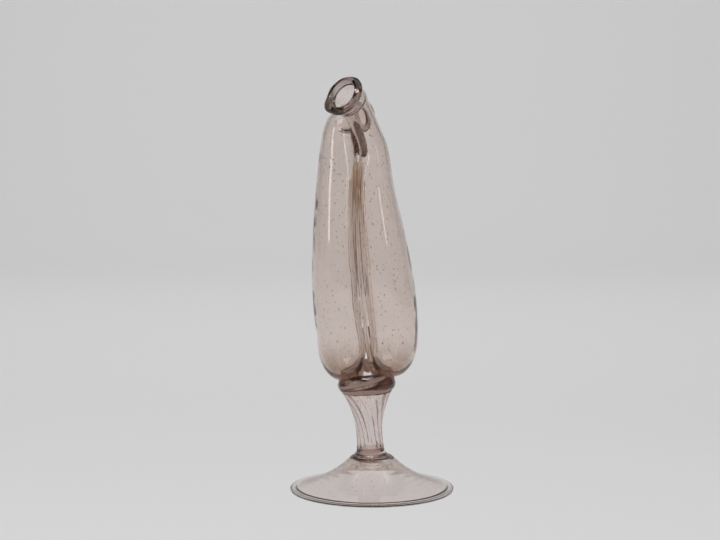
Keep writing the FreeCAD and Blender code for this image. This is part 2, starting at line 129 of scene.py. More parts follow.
class Bench:
    """Builds the node tree of one material."""

    def __init__(self, name: str) -> None:
        """Start an empty material.

        Args:
            name: the material's name.
        """
        self.material = bpy.data.materials.new(name)
        self.material.use_nodes = True
        self.tree = self.material.node_tree
        self.tree.nodes.clear()

    def node(self, kind: str, settings: dict[str, object], inputs: dict[object, object],
             output: int | str = 0) -> Flow:
        """Add any node.

        Args:
            kind: the node's type name.
            settings: attributes set before its sockets.
            inputs: values or flows by socket name or number.
            output: which output to hand back.

        Returns:
            The chosen output.
        """
        made = self.tree.nodes.new(kind)
        for key, value in settings.items():
            setattr(made, key, value)
        for key, value in inputs.items():
            socket = made.inputs[key]
            if isinstance(value, Flow):
                self.tree.links.new(value.socket, socket)
            else:
                socket.default_value = value
        return Flow(self, made.outputs[output])

    def place(self) -> Flow:
        """Position in the object's own frame, in metres."""
        return self.node("ShaderNodeTexCoord", {}, {}, "Object")

    def axis(self, place: Flow, name: str) -> Flow:
        """One coordinate of a position.

        Args:
            place: a vector flow.
            name: X, Y or Z.

        Returns:
            That coordinate as a number.
        """
        return self.node("ShaderNodeSeparateXYZ", {}, {0: place}, name)

    def stretched(self, place: Flow, scale: tuple[float, float, float]) -> Flow:
        """Scale a position along each axis."""
        return self.node("ShaderNodeVectorMath", {"operation": "MULTIPLY"},
                         {0: place, 1: scale})

    def cloud(self, place: Flow, scale: float, detail: float = 3.0,
              roughness: float = 0.5) -> Flow:
        """Fractal noise between 0 and 1.

        Args:
            place: where to read it.
            scale: cells per metre.
            detail: octaves.
            roughness: weight of the small octaves.

        Returns:
            The noise value.
        """
        return self.node("ShaderNodeTexNoise", {}, {
            "Vector": place, "Scale": scale, "Detail": detail, "Roughness": roughness})

    def cells(self, place: Flow, scale: float) -> Flow:
        """Distance to the nearest of a scatter of points, in cells."""
        return self.node("ShaderNodeTexVoronoi", {"feature": "F1"},
                         {"Vector": place, "Scale": scale, "Randomness": 1.0}, "Distance")

    def tint(self, share: Flow, first: Sequence[float], second: Sequence[float]) -> Flow:
        """Mix two colours by a share.

        Args:
            share: 0 gives the first and 1 the second.
            first: red, green and blue.
            second: red, green and blue.

        Returns:
            A colour flow.
        """
        return self.node("ShaderNodeMix", {"data_type": "RGBA"},
                         {0: share, 6: (*first, 1.0), 7: (*second, 1.0)}, 2)

    def tint_over(self, share: Flow, under: Flow, over: Sequence[float]) -> Flow:
        """Lay a plain colour over a colour flow by a share."""
        return self.node("ShaderNodeMix", {"data_type": "RGBA"},
                         {0: share, 6: under, 7: (*over, 1.0)}, 2)

    def bump(self, height: Flow, depth: float, strength: float) -> Flow:
        """Surface normal from a height.

        Args:
            height: the relief, 0 to 1.
            depth: what 1 stands for, in metres.
            strength: share of the relief that shows.

        Returns:
            A normal flow.
        """
        return self.node("ShaderNodeBump", {}, {
            "Height": height, "Distance": depth, "Strength": strength})

    def finish(self, surface: Flow, volume: Flow | None = None) -> bpy.types.Material:
        """Plug a surface, and a volume if there is one, into the output."""
        out = self.tree.nodes.new("ShaderNodeOutputMaterial")
        self.tree.links.new(surface.socket, out.inputs["Surface"])
        if volume is not None:
            self.tree.links.new(volume.socket, out.inputs["Volume"])
        return self.material


# ---------------------------------------------------------------------- finishes
@dataclass(frozen=True)
class GlassFinish:
    """A batch of glass: how it takes up light per millimetre, its flaws, and painted shade
    towards some ends.
    """

    name: str
    loss: tuple[float, float, float]
    ior: float = 1.5
    roughness: float = 0.0
    draw_depth: float = 0.05
    draw_scale: float = 90.0
    seed_scale: float = 420.0
    seed_size: float = 0.19
    seed_shade: tuple[float, float, float] = (0.28, 0.20, 0.17)
    body: tuple[float, float, float] = (1.0, 1.0, 1.0)
    stain: tuple[float, float, float] = (0.97, 0.93, 0.90)
    stain_share: float = 0.5
    # Painted shade and residue: a darker colour towards the low end, the high end or both
    # along one axis; the low end is painted shade, the high end is brown residue on the seam
    # and painted shade on the collar.
    residue_and_shade_axis: str = "Z"
    painted_shade_low: tuple[float, float] | None = None
    residue_and_shade_high: tuple[float, float] | None = None
    residue_and_shade_colour: tuple[float, float, float] = (0.50, 0.36, 0.24)
    residue_and_shade_base: float = 0.45
    residue_and_shade_streak: float = 0.9

    def absorption(self) -> tuple[float, tuple[float, float, float, float]]:
        """Turn the losses into a density and a colour.

        Returns:
            Density per metre, and the colour of Blender's absorption.
        """
        density = 1.25 * max(self.loss) / MM
        red, green, blue = (1.0 - value / MM / density for value in self.loss)
        return density, (red, green, blue, 1.0)

    def residue_and_shade(self, bench: Bench, place: Flow, lines: Flow) -> Flow | None:
        """Darker colour towards the ends along an axis: painted shade at the bulbs' bottoms,
        the rim's left side and the cleft, brown residue at the seam's top.

        Args:
            bench: the tree to build in.
            place: position in metres.
            lines: fine drawn streaks between 0 and 1.

        Returns:
            The share of residue and painted shade, or nothing where the batch has none.
        """
        if self.painted_shade_low is None and self.residue_and_shade_high is None:
            return None
        along = bench.axis(place, self.residue_and_shade_axis)
        ends = []
        if self.painted_shade_low is not None:
            full, end = (value * MM for value in self.painted_shade_low)
            ends.append(1.0 - along.ramp(full, end))
        if self.residue_and_shade_high is not None:
            start, full = (value * MM for value in self.residue_and_shade_high)
            ends.append(along.ramp(start, full))
        share = ends[0] if len(ends) == 1 else ends[1].at_least(ends[0])
        streaks = self.residue_and_shade_base + self.residue_and_shade_streak * lines.ramp(0.35, 0.6)
        return share * streaks.at_most(1.0)

    def material(self) -> bpy.types.Material:
        """Build the glass.

        Returns:
            A material with a refracting surface and a tinted volume.
        """
        bench = Bench(self.name)
        place = bench.place()
        drawn = bench.stretched(place, (1.0, 1.0, 0.12))
        lines = bench.cloud(drawn, self.draw_scale * 6.0, 2.0)
        swell = bench.cloud(place, self.draw_scale, 2.0)
        relief = lines * 0.25 + swell * 0.75
        tiny = bench.stretched(place, (1.0, 1.0, 0.6))
        seeds = 1.0 - bench.cells(tiny, self.seed_scale).ramp(
            self.seed_size * 0.5, self.seed_size)
        rare = bench.cloud(place, self.seed_scale * 0.9, 1.0).ramp(0.47, 0.54)
        haze = bench.cloud(drawn, self.draw_scale * 1.6, 4.0, 0.6).ramp(0.35, 0.75)
        clear = bench.tint(haze * self.stain_share, self.body, self.stain)
        # Lay the painted shade, and the seam's brown residue, over the glass colour.
        residue_and_shade = self.residue_and_shade(bench, place, lines)
        if residue_and_shade is not None:
            clear = bench.tint_over(residue_and_shade, clear, self.residue_and_shade_colour)
        color = bench.tint_over(seeds * rare, clear, self.seed_shade)
        surface = bench.node("ShaderNodeBsdfPrincipled", {}, {
            "Base Color": color,
            "Roughness": self.roughness,
            "IOR": self.ior,
            "Transmission Weight": 1.0,
            "Normal": bench.bump(relief, self.draw_depth * MM, 1.0),
        })
        density, shade = self.absorption()
        volume = bench.node("ShaderNodeVolumeAbsorption", {},
                            {"Color": shade, "Density": density})
        return bench.finish(surface, volume)


@dataclass(frozen=True)
class PaperFinish:
    """Matt paper of the studio sweep."""

    name: str = "studio_paper"
    # Painted light and shade: the one paper is coloured darker on the floor and lighter on the
    # wall, standing in for how the lights fall on the sweep.
    floor: tuple[float, float, float] = (0.74, 0.735, 0.74)
    wall: tuple[float, float, float] = (0.90, 0.893, 0.898)
    tooth_depth: float = 0.02

    def material(self) -> bpy.types.Material:
        """Build the paper.

        Returns:
            A matt material with a faint tooth.
        """
        bench = Bench(self.name)
        place = bench.place()
        tooth = bench.cloud(place, 900.0, 2.0)
        mottle = bench.cloud(place, 3.0, 2.0)
        # Painted light and shade: ramp from the darker floor colour to the lighter wall colour
        # along the sweep.
        rise = bench.axis(place, "Y").ramp(0.1, 0.95)
        painted_light_sheet = bench.tint(rise, self.floor, self.wall)
        dim = tuple(value * 0.985 for value in self.wall)
        surface = bench.node("ShaderNodeBsdfPrincipled", {}, {
            "Base Color": bench.tint_over(mottle * rise * 0.5, painted_light_sheet, dim),
            "Roughness": 0.9,
            "Specular IOR Level": 0.1,
            "Normal": bench.bump(tooth, self.tooth_depth * MM, 0.3),
        })
        return bench.finish(surface)


class Batch(Enum):
    """The batches of glass that the cruet is made from."""

    # Painted shade: the blown glass darkens towards the bulbs' bottoms, standing in for the
    # dark refraction and long glass path there.
    BLOWN = GlassFinish("blown_glass", (0.036, 0.054, 0.062), roughness=0.04,
                        body=(0.980, 0.936, 0.908), stain=(0.955, 0.905, 0.87),
                        painted_shade_low=(63.0, 88.0), residue_and_shade_colour=(0.62, 0.51, 0.43))
    # Painted shade: the rim glass darkens on its left side, standing in for the dark
    # refraction at the thick ring's edge.
    LIP = GlassFinish("lip_glass", (0.172, 0.220, 0.240), draw_depth=0.10,
                      residue_and_shade_axis="X", painted_shade_low=(-24.5, -20.5),
                      residue_and_shade_colour=(0.20, 0.13, 0.10))
    # Painted shade in the cleft between the bulbs at the seam's low end; brown residue towards
    # its top.
    SEAM = GlassFinish("seam_glass", (0.014, 0.026, 0.036), draw_depth=0.12,
                       stain=(0.88, 0.78, 0.66), stain_share=0.3,
                       painted_shade_low=(76.0, 92.0), residue_and_shade_high=(150.0, 175.0),
                       residue_and_shade_colour=(0.58, 0.42, 0.28))
    WELD = GlassFinish("weld_glass", (0.105, 0.155, 0.195), draw_depth=0.50,
                       stain=(0.60, 0.43, 0.30), stain_share=1.0)
    # Painted shade on the top of the web, in the cleft between the bulbs.
    COLLAR = GlassFinish("collar_glass", (0.028, 0.040, 0.046), draw_depth=0.40,
                         draw_scale=150.0, body=(0.94, 0.90, 0.87),
                         residue_and_shade_high=(63.0, 69.0), residue_and_shade_colour=(0.22, 0.15, 0.11))
    LENS = GlassFinish("lens_glass", (0.022, 0.034, 0.039), draw_depth=0.12,
                       roughness=0.05, body=(0.96, 0.93, 0.91))
    STEM = GlassFinish("stem_glass", (0.040, 0.062, 0.070))
    FOOT = GlassFinish("foot_glass", (0.055, 0.080, 0.092), draw_depth=0.02,
                       roughness=0.07, body=(0.950, 0.912, 0.893))


# ------------------------------------------------------------------- mesh making
Ring = list[Vector]


class Shell:
    """Collects rings of points and skins them into one closed mesh."""

    def __init__(self, name: str) -> None:
        """Start an empty mesh.

        Args:
            name: the name of the object that it will become.
        """
        self.name = name
        self.points: list[Vector] = []
        self.faces: list[tuple[int, ...]] = []

    def ring(self, points: Ring) -> list[int]:
        """Add the points of a ring and return their numbers."""
        first = len(self.points)
        self.points.extend(points)
        return list(range(first, len(self.points)))

    def band(self, below: list[int], above: list[int]) -> None:
        """Join two rings of equal count with four-sided faces."""
        count = len(below)
        for index in range(count):
            after = (index + 1) % count
            self.faces.append((below[index], below[after], above[after], above[index]))

    def cap(self, ring: list[int], pole: Vector, upward: bool) -> None:
        """Close a ring with a fan to a pole.

        Args:
            ring: numbers of the ring's points.
            pole: where the fan meets.
            upward: whether the fan closes the top rather than the bottom.
        """
        centre = len(self.points)
        self.points.append(pole)
        count = len(ring)
        for index in range(count):
            after = (index + 1) % count
            if upward:
                self.faces.append((ring[index], ring[after], centre))
            else:
                self.faces.append((ring[after], ring[index], centre))

    def skin(self, rings: list[Ring], closed: bool = False,
             inward: bool = False) -> list[list[int]]:
        """Add rings and join each to the next.

        Args:
            rings: rings of equal count, in order.
            closed: whether the last ring joins the first.
            inward: whether the faces look inwards, as a lining's do.

        Returns:
            The numbers of every ring.
        """
        numbers = [self.ring(points) for points in rings]
        begin = len(self.faces)
        for below, above in zip(numbers, numbers[1:]):
            self.band(below, above)
        if closed:
            self.band(numbers[-1], numbers[0])
        if inward:
            self.faces[begin:] = [face[::-1] for face in self.faces[begin:]]
        return numbers

    def piece(self, nodes: Sequence[str], batch: Batch) -> bpy.types.Object:
        """Turn the mesh into the finished piece of one or more nodes.

        Args:
            nodes: the frame's nodes that the piece stands for.
            batch: the glass it is made from.

        Returns:
            The new object, riding on the frame.
        """
        mesh = bpy.data.meshes.new(self.name)
        mesh.from_pydata([point * MM for point in self.points], [], self.faces)
        mesh.validate()
        mesh.polygons.foreach_set("use_smooth", [True] * len(mesh.polygons))
        mesh.materials.append(GLASS[batch])
        made = bpy.data.objects.new(self.name, mesh)
        bpy.context.scene.collection.objects.link(made)
        made.visible_shadow = False
        made.visible_diffuse = False
        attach(made, BODY)
        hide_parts(*nodes)
        LOG.info("%s: %d faces for %s", self.name, len(mesh.polygons), ", ".join(nodes))
        return made


GLASS: dict[Batch, bpy.types.Material] = {}


def wander(point: Vector, cell: float, seed: float) -> float:
    """Smooth noise about zero.

    Args:
        point: where to read it, in millimetres.
        cell: size of its swells, in millimetres.
        seed: picks one pattern out of many.

    Returns:
        A value of about -1 to 1.
    """
    return noise.noise(point / cell + Vector((seed, seed * 1.7, -seed)))


def middle_of(ring: Ring) -> Vector:
    """Mean of a ring's points."""
    return sum(ring, Vector()) / len(ring)


def turned(radius: float, height: float, count: int) -> Ring:
    """Level circle about the vertical axis."""
    step = 2 * math.pi / count
    return [Vector((radius * math.cos(index * step), radius * math.sin(index * step),
                    height)) for index in range(count)]


def along_arc(start: tuple[float, float], end: tuple[float, float], radius: float,
              side: int, count: int) -> list[tuple[float, float]]:
    """Points on an arc between two points of an outline.

    Args:
        start: radius and height where it starts.
        end: radius and height where it ends.
        radius: the arc's radius.
        side: 1 bulges to the left of the way from start to end, -1 to the right.
        count: how many points, both ends included.

    Returns:
        The points in order.
    """
    first = np.array(start, float)
    last = np.array(end, float)
    chord = last - first
    length = float(np.hypot(*chord))
    normal = np.array([-chord[1], chord[0]]) / length
    apothem = math.sqrt(max(radius * radius - length * length / 4, 0.0))
    centre = (first + last) / 2 - normal * side * apothem
    begin = math.atan2(*(first - centre)[::-1])
    sweep = math.atan2(*(last - centre)[::-1]) - begin
    sweep = (sweep + math.pi) % (2 * math.pi) - math.pi
    angles = [begin + sweep * index / (count - 1) for index in range(count)]
    return [(centre[0] + radius * math.cos(angle), centre[1] + radius * math.sin(angle))
            for angle in angles]


def spline_columns(rings: list[Ring], rows: int) -> list[Ring]:
    """Run a natural cubic spline up every column of a stack of rings.

    Args:
        rings: the rings to pass through.
        rows: how many rings to hand back.

    Returns:
        Finely spaced rings.
    """
    stack = np.array([[tuple(point) for point in ring] for ring in rings])
    gaps = np.sqrt(((stack[1:] - stack[:-1]) ** 2).sum(axis=2)).mean(axis=1)
    knots = np.concatenate([[0.0], np.cumsum(gaps)])
    count = len(knots)
    matrix = np.zeros((count, count))
    right = np.zeros((count, stack.shape[1] * 3))
    flat = stack.reshape(count, -1)
    matrix[0, 0] = matrix[-1, -1] = 1.0
    for row in range(1, count - 1):
        before = knots[row] - knots[row - 1]
        after = knots[row + 1] - knots[row]
        matrix[row, row - 1] = before
        matrix[row, row] = 2 * (before + after)
        matrix[row, row + 1] = after
        right[row] = 6 * ((flat[row + 1] - flat[row]) / after
                          - (flat[row] - flat[row - 1]) / before)
    curve = np.linalg.solve(matrix, right)
    fine = []
    for place in np.linspace(0.0, knots[-1], rows):
        row = int(min(np.searchsorted(knots, place, side="right") - 1, count - 2))
        span = knots[row + 1] - knots[row]
        up = (place - knots[row]) / span
        down = 1.0 - up
        bent = ((down ** 3 - down) * curve[row] + (up ** 3 - up) * curve[row + 1])
        value = down * flat[row] + up * flat[row + 1] + bent * span * span / 6
        fine.append([Vector(point) for point in value.reshape(-1, 3)])
    return fine


# ----------------------------------------------------------------- the two bulbs
class Hand(Enum):
    """Which side of the partition a vessel lies on."""

    LEFT = -1
    RIGHT = 1


@dataclass(frozen=True)
class Crease:
    """The partition: a shallow parabola seen from the front."""

    bottom: float = 67.0
    top: float = 171.0
    offset: float = -8.5
    travel: float = 9.3
    gap: float = 0.18
    squareness: float = 4.0

    def at(self, height: float) -> float:
        """Sideways place of the partition at a height."""
        share = (self.top - height) / (self.top - self.bottom)
        return self.offset + self.travel * share ** 2


CREASE = Crease()
STOPS = (88.0, 110.0, 142.0, 174.0)
DEPTHS = (20.0, 21.0, 19.5, 14.0)
NECK_WALL = 1.5
NECK_STRAIGHT = 5.0
ROOT_DEPTH = 10.5
CAP_POWER = 0.85
CAP_DEGREES = (4, 9, 15, 24, 34, 45, 57, 70, 80)
BODY_SECTIONS = 10
NECK_SECTIONS = 9
POLE_DROP = 0.02
EDGE_SHARE = 0.999
OUT_OF_REACH = 999.0


def through(height: float, values: Sequence[float]) -> float:
    """Smooth curve through four values at the named heights.

    Args:
        height: where to read it.
        values: the values at the low, belly, middle and shoulder heights.

    Returns:
        The value there.
    """
    total = 0.0
    for here, value in zip(STOPS, values):
        share = 1.0
        for other in STOPS:
            if other != here:
                share *= (height - other) / (here - other)
        total += value * share
    return total


@dataclass(frozen=True)
class Neck:
    """A bent neck: its root, the pull of its ends, and its ringed mouth."""

    root: Vector
    rise: float
    root_radius: float
    radius: float
    mouth: Vector
    azimuth: float
    elevation: float
    pull: float
    bore: float
    rim_radius: float
    rim_height: float

    def facing(self) -> Vector:
        """Unit vector straight out of the mouth."""
        azimuth = math.radians(self.azimuth)
        elevation = math.radians(self.elevation)
        return Vector((math.cos(elevation) * math.cos(azimuth),
                       math.cos(elevation) * math.sin(azimuth), math.sin(elevation)))

    def end(self) -> Vector:
        """Centre of the plane where the rim is laid on the neck."""
        return self.mouth - self.facing() * self.rim_height

    def bend(self, share: float) -> tuple[Vector, Vector]:
        """Point and direction on the bend.

        Args:
            share: 0 at the root and 1 where the straight end begins.

        Returns:
            The point, and the unit direction of the neck there.
        """
        last = self.end() - self.facing() * NECK_STRAIGHT
        second = self.root + Vector((0, 0, self.rise))
        third = last - self.facing() * self.pull
        rest = 1 - share
        point = (self.root * rest ** 3 + second * (3 * rest ** 2 * share)
                 + third * (3 * rest * share ** 2) + last * share ** 3)
        way = ((second - self.root) * rest ** 2 + (third - second) * (2 * rest * share)
               + (last - third) * share ** 2)
        return point, way.normalized()


def section(centre: Vector, normal: Vector, outward: Vector, outer: float, inner: float,
            deep: float, squareness: float, count: int) -> Ring:
    """Closed section: an ellipse outside and a squared half at the partition.

    Args:
        centre: middle of the section.
        normal: direction across its plane.
        outward: direction away from the partition.
        outer: reach on the outer side.
        inner: reach on the partition side.
        deep: half depth, front to back.
        squareness: power of the partition half, 2 for an ellipse.
        count: points around.

    Returns:
        The ring.
    """
    across = (outward - normal * outward.dot(normal)).normalized()
    depthwise = normal.cross(across)
    ring = []
    for index in range(count):
        angle = 2 * math.pi * index / count
        cosine = math.cos(angle)
        sine = math.sin(angle)
        reach = outer if cosine > 0 else inner
        power = 2.0 if cosine > 0 else squareness
        total = abs(cosine / reach) ** power + abs(sine / deep) ** power
        radius = total ** (-1 / power)
        ring.append(centre + across * (radius * cosine) + depthwise * (radius * sine))
    return ring


@dataclass
class Vessel:
    """One blown chamber with its neck, as a shell of even but living wall."""

    hand: Hand
    side: str
    neck: Neck
    bottom: float
    widths: tuple[float, float, float, float]
    seed: float
    wall: float = 1.5
    heel: float = 1.3
    fold: float = 0.0
    fold_at: float = 0.84
    fold_width: float = 0.10
    fold_middle: float = 137.0
    fold_reach: float = 52.0
    fold_wave: float = 17.0
    swells: tuple[float, float] = (0.10, 0.22)
    swell_cell: float = 17.0
    ripple_cell: float = 6.0
    ripple_share: float = 0.35
    around: int = 112
    rows: int = 210
    share: float = 0.46

    @property
    def node(self) -> str:
        """Name of the frame's node."""
        return f"{self.hand.name.lower()}_vessel"

    def middle(self, height: float) -> tuple[float, float, float]:
        """Level layout of the body at a height.

        Args:
            height: between the low and the shoulder heights.

        Returns:
            The centre's sideways place, and the reach inwards and outwards.
        """
        width = through(height, self.widths)
        inner = width * self.share
        centre = CREASE.at(height) + self.hand.value * (CREASE.gap + inner)
        return centre, inner, width - inner

    def cap_height(self, x: float, y: float) -> float:
        """Height of the outer skin under a point of the rounded bottom.

        Args:
            x: sideways place.
            y: place from front to back.

        Returns:
            The height, or a large one outside the bottom.
        """
        centre, inner, outer = self.middle(STOPS[0])
        side = (x - centre) * self.hand.value
        reach = outer if side > 0 else inner
        power = 2.0 if side > 0 else CREASE.squareness
        share = ((abs(side) / reach) ** power + (abs(y) / DEPTHS[0]) ** power) ** (1 / power)
        if share >= EDGE_SHARE:
            return OUT_OF_REACH
        angle = math.asin(share ** (1 / CAP_POWER))
        return STOPS[0] - (STOPS[0] - self.bottom) * math.cos(angle)

    def rings(self, inset: float) -> list[Ring]:
        """Rings of one skin of the vessel.

        Args:
            inset: how far the skin lies inside the outer one.

        Returns:
            Rings from just over the pole to the end of the neck.
        """
        up = Vector((0, 0, 1))
        outward = Vector((self.hand.value, 0, 0))
        stack = []
        centre, inner, outer = self.middle(STOPS[0])
        drop = STOPS[0] - self.bottom - inset
        for degrees in CAP_DEGREES:
            angle = math.radians(degrees)
            thick = self.heel * math.cos(angle) ** 1.5 * (inset > 0)
            share = math.sin(angle) ** CAP_POWER
            stack.append(section(
                Vector((centre, 0, STOPS[0] - (drop - thick) * math.cos(angle))), up,
                outward, (outer - inset) * share, (inner - inset) * share,
                (DEPTHS[0] - inset) * share, CREASE.squareness, self.around))
        for number in range(BODY_SECTIONS):
            height = STOPS[0] + (STOPS[-1] - STOPS[0]) * number / (BODY_SECTIONS - 1)
            centre, inner, outer = self.middle(height)
            stack.append(section(
                Vector((centre, 0, height)), up, outward, outer - inset, inner - inset,
                through(height, DEPTHS) - inset, CREASE.squareness, self.around))
        end = self.neck.bore + NECK_WALL
        for number in range(NECK_SECTIONS):
            share = number / (NECK_SECTIONS - 1)
            point, way = self.neck.bend(share)
            flare = (end - self.neck.radius) * share ** 4
            fade = (1 - share) ** 2
            wide = self.neck.radius + (self.neck.root_radius - self.neck.radius) * fade
            deep = self.neck.radius + (ROOT_DEPTH - self.neck.radius) * fade
            stack.append(section(point, way, outward, wide + flare - inset,
                                 wide + flare - inset, deep + flare - inset, 2.0,
                                 self.around))
        for step in (NECK_STRAIGHT / 2, NECK_STRAIGHT):
            point = self.neck.bend(1)[0] + self.neck.facing() * step
            stack.append(section(point, self.neck.facing(), outward, end - inset,
                                 end - inset, end - inset, 2.0, self.around))
        return spline_columns(stack, self.rows)

    def crimp(self, point: Vector, angle: float) -> float:
        """Depth of the shallow fold that runs down the outer flank.

        Args:
            point: a point of a skin.
            angle: its angle round the section, from the outer side.

        Returns:
            How far the skin is drawn in there.
        """
        if not self.fold:
            return 0.0
        ends = max(0.0, 1 - ((point.z - self.fold_middle) / self.fold_reach) ** 2)
        course = self.fold_at + self.fold_width * math.sin(point.z / self.fold_wave)
        return self.fold * ends * math.exp(-((angle - course) / self.fold_width) ** 2)

    def build(self) -> bpy.types.Object:
        """Blow the vessel: two skins joined at the mouth."""
        skins = []
        for inset, swell, sign in zip((0.0, self.wall), self.swells, (1.0, -1.0)):
            rings = self.rings(inset)
            for row, ring in enumerate(rings):
                centre = middle_of(ring)
                settle = min(1.0, (len(rings) - 1 - row) / 12)
                for index, point in enumerate(ring):
                    push = swell * wander(point, self.swell_cell, self.seed + sign)
                    push += self.ripple_share * swell * wander(
                        point, self.ripple_cell, self.seed + 2 * sign)
                    push += self.crimp(point, 2 * math.pi * index / self.around)
                    inward = (centre - point).normalized()
                    ring[index] = point + inward * (abs(push) * settle if inset == 0
                                                    else push * settle)
            skins.append(rings)
        shell = Shell(f"{self.node}_glass")
        outer = shell.skin(skins[0])
        inner = shell.skin(skins[1], inward=True)
        dimple = Vector((0, 0, POLE_DROP))
        shell.cap(outer[0], middle_of(skins[0][0]) - dimple, upward=False)
        shell.cap(inner[0], middle_of(skins[1][0]) - dimple, upward=True)
        shell.band(outer[-1], inner[-1])
        return shell.piece((self.node, f"{self.side}_neck"), Batch.BLOWN)


@dataclass
class Rim:
    """Thick trail of glass wound round a mouth."""

    side: str
    neck: Neck
    seed: float
    lip_round: float = 1.0
    side_round: float = 3.2
    around: int = 128
    gap: float = 0.02
    lap: float = 0.0
    lap_at: float = 0.0
    thin: float = 0.0
    thin_at: float = 0.0

    def outline(self) -> list[tuple[float, float]]:
        """Radius and height of the ring's section, counter-clockwise from the bore."""
        bore = self.neck.bore
        tall = self.neck.rim_height
        wide = self.neck.rim_radius
        foot = bore + NECK_WALL
        points = [(bore, -tall + self.gap + 0.15), (bore, -tall * 0.6), (bore, -tall * 0.3)]
        points += along_arc((bore, -self.lip_round), (bore + self.lip_round, 0.0),
                            self.lip_round, 1, 6)
        points += along_arc((bore + self.lip_round, 0.0), (wide, -tall / 2),
                            self.side_round, 1, 10)[1:]
        points += along_arc((wide, -tall / 2), (foot, -tall + self.gap),
                            self.side_round, 1, 10)[1:]
        points.append(((bore + foot) / 2, -tall + self.gap))
        return points[::-1]

    def build(self) -> bpy.types.Object:
        """Wind the ring about the mouth's axis."""
        facing = self.neck.facing()
        across = (Vector((1, 0, 0)) - facing * facing.x).normalized()
        deep = facing.cross(across)
        outline = self.outline()
        middle = (self.neck.bore + self.neck.rim_radius) / 2
        rings: list[Ring] = []
        for radius, height in outline:
            ring = []
            for index in range(self.around):
                angle = 2 * math.pi * index / self.around
                spot = Vector((math.cos(angle), math.sin(angle), height * 0.2))
                outer = max(0.0, (radius - middle) / (self.neck.rim_radius - middle))
                near = math.cos(angle - self.lap_at)
                lump = self.lap * max(0.0, near) ** 12 * outer
                lump -= self.thin * max(0.0, math.cos(angle - self.thin_at)) ** 2 * outer
                swell = 0.35 * wander(spot * 10, 9.0, self.seed) * outer
                size = radius - abs(swell) * 0.8 + lump
                lift = 0.0 if height < -self.neck.rim_height + 0.5 else (
                    -0.35 * abs(wander(spot * 10, 7.0, self.seed + 5)))
                ring.append(self.neck.mouth + facing * (height + lift)
                            + across * (size * math.cos(angle))
                            + deep * (size * math.sin(angle)))
            rings.append(ring)
        shell = Shell(f"{self.side}_rim_glass")
        shell.skin(rings, closed=True)
        return shell.piece((f"{self.side}_rim",), Batch.LIP)


@dataclass
class Seam:
    """Trail of glass that fills the groove between the vessels on one side."""

    side: str
    sign: int
    left: Vessel
    right: Vessel
    seed: float
    bottom: float = 76.0
    top: float = 176.0
    sink: float = 3.6
    half_depth: float = 2.6
    half_width: float = 2.2
    gap: float = 0.03
    tip: float = 0.45
    bulge: float = 0.35
    rows: int = 120
    steps: int = 14
    crown_steps: int = 8

    def wall_at(self, vessel: Vessel, height: float, deep: float) -> float:
        """Sideways place of a vessel's skin by the groove.

        Args:
            vessel: the left or the right one.
            height: height of the section.
            deep: distance from the middle plane, front or back.

        Returns:
            The x of the skin there.
        """
        centre, inner, _ = vessel.middle(height)
        half = through(height, DEPTHS)
        share = min(EDGE_SHARE, abs(deep) / half)
        reach = inner * (1 - share ** CREASE.squareness) ** (1 / CREASE.squareness)
        return centre - vessel.hand.value * reach

    def groove_share(self, height: float, taper: float) -> float:
        """How far out the trail fills the groove, as a share of the half depth."""
        inner = min(self.left.middle(height)[1], self.right.middle(height)[1])
        return (1 - (1 - self.half_width * taper / inner) ** CREASE.squareness) ** (
            1 / CREASE.squareness)

    def section_at(self, share: float) -> Ring:
        """One section of the trail.

        Args:
            share: 0 at the bottom of the groove and 1 at its top.

        Returns:
            The ring: up the left wall, over the crown, and back down the right wall.
        """
        level = self.bottom + (self.top - self.bottom) * share
        height = min(level, STOPS[-1])
        taper = self.tip + (1 - self.tip) * math.sin(math.pi * share) ** 0.5
        half = through(height, DEPTHS)
        back = half - self.sink - self.half_depth * taper
        front = min(half - self.sink + self.half_depth * taper,
                    half * self.groove_share(height, taper))
        walls = [back + (front - back) * step / (self.steps - 1)
                 for step in range(self.steps)]
        left = [Vector((self.wall_at(self.left, height, deep) + self.gap,
                        self.sign * deep, level)) for deep in walls]
        right = [Vector((self.wall_at(self.right, height, deep) - self.gap,
                         self.sign * deep, level)) for deep in reversed(walls)]
        crown = []
        for step in range(1, self.crown_steps):
            across = step / self.crown_steps
            bulge = self.bulge * math.sin(math.pi * across)
            wave = 0.25 * wander(Vector((across * 3, 0, level)), 5.0, self.seed)
            crown.append(Vector((left[-1].x + (right[0].x - left[-1].x) * across,
                                 self.sign * (front + bulge + wave * bulge * 2), level)))
        ring = left + crown + right
        return ring if self.sign > 0 else ring[::-1]

    def build(self) -> bpy.types.Object:
        """Lay the trail from the bottom of the groove to its top."""
        rings = [self.section_at(row / (self.rows - 1)) for row in range(self.rows)]
        shell = Shell(f"{self.side}_seam_glass")
        numbers = shell.skin([ring[::-1] for ring in rings])
        shell.cap(numbers[0], middle_of(rings[0]), upward=False)
        shell.cap(numbers[-1], middle_of(rings[-1]), upward=True)
        return shell.piece((f"{self.side}_seam",), Batch.SEAM)


# ------------------------------------------------------------ collar, stem, foot
@dataclass(frozen=True)
class Lean:
    """Where the stem stands and how it leans."""

    offset: float = -0.8
    base: float = 21.5
    degrees: float = 3.2

    def put(self, point: Vector) -> Vector:
        """Move a point from the stem's own frame into the cruet's."""
        angle = math.radians(-self.degrees)
        return Vector((
            point.x * math.cos(angle) + point.z * math.sin(angle) + self.offset,
            point.y,
            -point.x * math.sin(angle) + point.z * math.cos(angle) + self.base))


LEAN = Lean()


